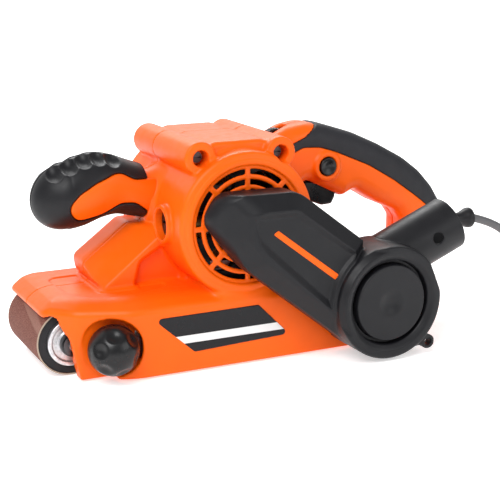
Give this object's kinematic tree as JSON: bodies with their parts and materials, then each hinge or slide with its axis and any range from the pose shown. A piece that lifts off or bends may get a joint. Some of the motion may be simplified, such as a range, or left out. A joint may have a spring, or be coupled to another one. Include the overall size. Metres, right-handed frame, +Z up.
{
  "type": "belt sander",
  "caption": "Handheld electric belt sander with transverse motor, two handles, side dust duct and outlet tube, lever-tensioned sanding belt and corded supply",
  "frame": {"origin": "on the sanding face, midway between the two rollers, on the belt's centre plane", "axes": "+X toward the rear handle and cord, +Y toward the open side where the belt is changed, +Z up away from the sanding face"},
  "size_m": [0.561, 0.166, 0.165],
  "materials": {
    "orange_shell": "satin moulded plastic, fine spark texture",
    "black_shell": "satin moulded plastic, fine spark texture",
    "grip_rubber": "soft overmoulded rubber, fine stipple",
    "black_control": "smooth satin plastic",
    "plate_film": "printed film with a plain white band, no lettering",
    "grit_cloth": "aluminium oxide grit on cloth",
    "steel": "turned or stamped steel",
    "dark_steel": "blackened spring steel",
    "cast_alloy": "die-cast, bead blasted",
    "roller_rubber": "moulded rubber sleeve",
    "copper": "enamelled copper wire",
    "laminate": "stacked electrical steel sheets",
    "carbon": "pressed carbon",
    "brass": "drawn brass",
    "belt_rubber": "reinforced rubber",
    "graphite_cloth": "graphite-coated cork pad",
    "circuit_board": "glass-epoxy board",
    "cord_jacket": "matt rubber sheath",
    "plug_body": "moulded rubber with nickel pins"
  },
  "bodies": {
    "machine": {"housing_left": "orange_shell", "housing_right": "orange_shell", "front_handle_core": "orange_shell", "front_grip": "grip_rubber", "rear_grip": "grip_rubber", "switch_body": "black_control", "speed_board": "circuit_board", "strain_relief": "cord_jacket", "name_plate": "plate_film", "duct_shell": "black_shell", "duct_cap": "black_shell", "duct_nozzle": "black_shell", "duct_back": "black_shell", "dust_inlet": "black_shell", "duct_screws": "steel", "sanding_belt": "grit_cloth", "platen_pad": "graphite_cloth", "platen": "steel", "base_frame": "cast_alloy", "lever_pin": "steel", "drive_bearings": "steel", "timing_belt": "belt_rubber", "motor_bearings": "steel", "bearing_bulkhead": "black_shell", "bearing_spider": "cast_alloy", "stator_core": "laminate", "stator_winding": "copper", "brush_holders": "brass", "carbon_brushes": "carbon", "brush_caps": "black_control", "housing_screws": "dark_steel", "cord": "cord_jacket", "cord_coil": "cord_jacket", "plug": "plug_body"},
    "trigger": {"trigger": "black_control"},
    "lock_button": {"lock_button": "black_control"},
    "speed_dial": {"speed_dial": "black_control"},
    "tracking_knob": {"tracking_knob": "black_control", "tracking_screw": "steel"},
    "tension_lever": {"tension_lever": "black_control"},
    "front_carriage": {"roller_yoke": "dark_steel", "front_axle": "steel", "axle_clips": "dark_steel", "tension_spring": "dark_steel"},
    "front_roller": {"front_roller": "roller_rubber", "front_bearings": "steel", "roller_hubs": "cast_alloy"},
    "drive_roller": {"drive_roller": "roller_rubber", "drive_shaft": "steel", "driven_pulley": "black_shell"},
    "armature": {"armature_shaft": "steel", "motor_pulley": "steel", "commutator": "copper", "armature_core": "laminate", "armature_winding": "copper", "cooling_fan": "black_shell"}
  },
  "joints": [
    {"name": "trigger_pull", "type": "slide", "parent": "machine", "child": "trigger", "axis": [0, 0, 1], "range_m": [0, 0.005], "stiffness_N_per_m": 900, "springref_m": -0.002},
    {"name": "lock_button_press", "type": "slide", "parent": "machine", "child": "lock_button", "axis": [0, 1, 0], "range_m": [0, 0.003], "stiffness_N_per_m": 800, "springref_m": -0.001},
    {"name": "speed_dial_turn", "type": "hinge", "parent": "machine", "child": "speed_dial", "pos_m": [0.085, 0, 0.152], "axis": [0, 1, 0], "range_deg": [0, 270]},
    {"name": "tracking_knob_turn", "type": "hinge", "parent": "machine", "child": "tracking_knob", "pos_m": [-0.074, 0, 0.0245], "axis": [0, 1, 0], "range_deg": [-360, 360]},
    {"name": "tension_lever_swing", "type": "hinge", "parent": "machine", "child": "tension_lever", "pos_m": [-0.02, 0, 0.0245], "axis": [0, 1, 0], "range_deg": [0, 75]},
    {"name": "front_carriage_slide", "type": "slide", "parent": "machine", "child": "front_carriage", "axis": [1, 0, 0], "range_m": [0, 0.008]},
    {"name": "drive_roller_spin", "type": "hinge", "parent": "machine", "child": "drive_roller", "pos_m": [0.09555, 0, 0.0245], "axis": [0, 1, 0], "continuous": true},
    {"name": "front_roller_spin", "type": "hinge", "parent": "front_carriage", "child": "front_roller", "pos_m": [-0.09555, 0, 0.0245], "axis": [0, 1, 0], "continuous": true},
    {"name": "armature_spin", "type": "hinge", "parent": "machine", "child": "armature", "pos_m": [0.03, 0, 0.104], "axis": [0, 1, 0], "continuous": true}
  ],
  "couplings": [
    {"joint": "tension_lever_swing", "follows": "front_carriage_slide", "rad_per_m": 163.6},
    {"joint": "front_roller_spin", "follows": "drive_roller_spin", "ratio": 1},
    {"joint": "armature_spin", "follows": "drive_roller_spin", "ratio": 2.25}
  ]
}
